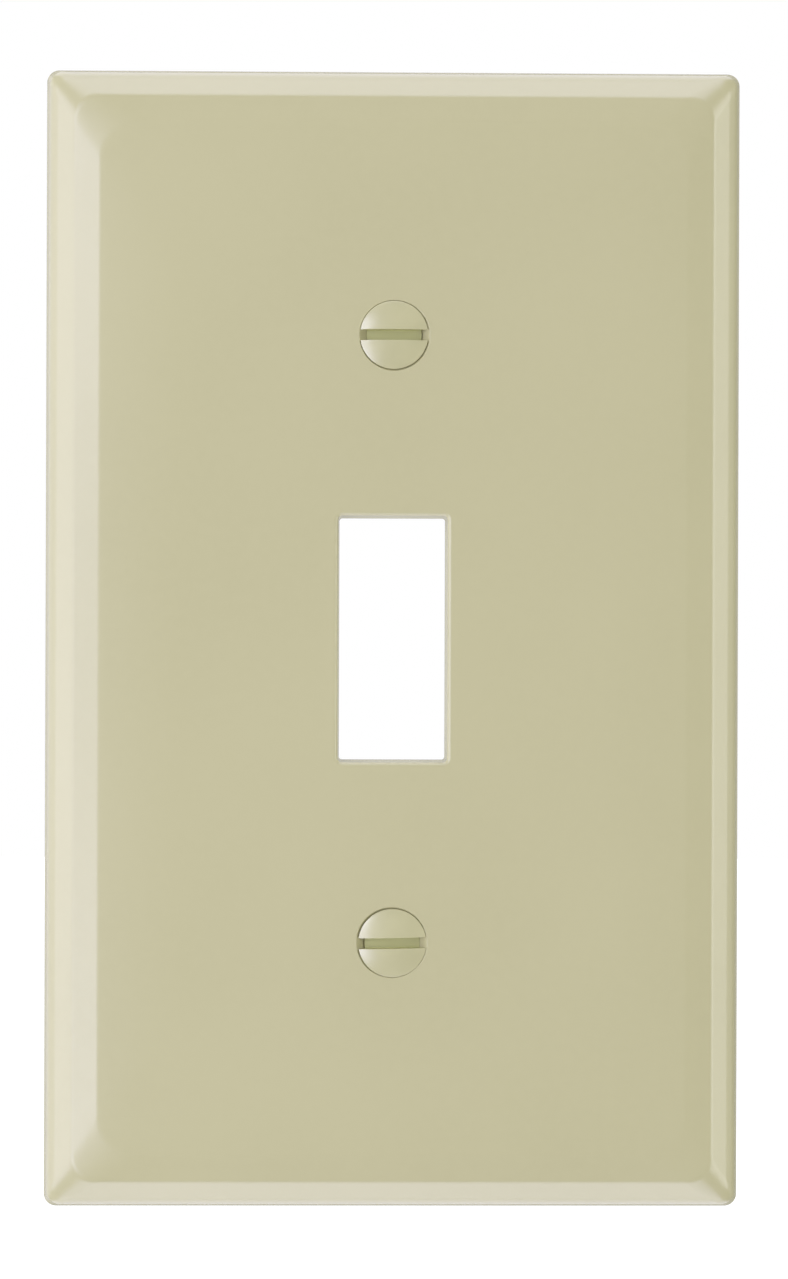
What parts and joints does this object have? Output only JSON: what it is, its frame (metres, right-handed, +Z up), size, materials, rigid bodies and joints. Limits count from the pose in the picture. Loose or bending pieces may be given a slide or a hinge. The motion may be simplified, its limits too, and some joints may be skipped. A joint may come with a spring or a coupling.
{
  "type": "toggle switch wall plate",
  "caption": "Ivory one-gang wall plate with an opening for a toggle lever, fixed by captive slotted oval-head screws.",
  "frame": {"origin": "centre of the plate, on the plane of the wall that its back rim rests on", "axes": "+X to the right seen from the front, -Y out of the wall towards the viewer, +Y into the wall, +Z up"},
  "size_m": [0.0698, 0.0164, 0.1142],
  "materials": {
    "ivory_plastic": "semi-gloss moulded ivory thermoplastic",
    "ivory_painted_steel": "ivory enamel on a steel screw head, the thread zinc plated",
    "natural_nylon": "satin natural nylon"
  },
  "bodies": {
    "plate": {"wall_plate": "ivory_plastic"},
    "upper_retainer": {"upper_retainer": "natural_nylon"},
    "upper_screw": {"upper_screw": "ivory_painted_steel"},
    "lower_retainer": {"lower_retainer": "natural_nylon"},
    "lower_screw": {"lower_screw": "ivory_painted_steel"}
  },
  "joints": [
    {"name": "upper_screw_travel", "type": "slide", "parent": "plate", "child": "upper_retainer", "axis": [0, -1, 0], "range_m": [0, 0.00159]},
    {"name": "upper_screw_turn", "type": "hinge", "parent": "upper_retainer", "child": "upper_screw", "pos_m": [0, -0.0056, 0.03016], "axis": [0, -1, 0], "range_deg": [0, 720]},
    {"name": "lower_screw_travel", "type": "slide", "parent": "plate", "child": "lower_retainer", "axis": [0, -1, 0], "range_m": [0, 0.00159]},
    {"name": "lower_screw_turn", "type": "hinge", "parent": "lower_retainer", "child": "lower_screw", "pos_m": [0, -0.0056, -0.03016], "axis": [0, -1, 0], "range_deg": [0, 720]}
  ],
  "couplings": [
    {"joint": "upper_screw_turn", "follows": "upper_screw_travel", "rad_per_m": 7915.8},
    {"joint": "lower_screw_turn", "follows": "lower_screw_travel", "rad_per_m": 7915.8}
  ]
}
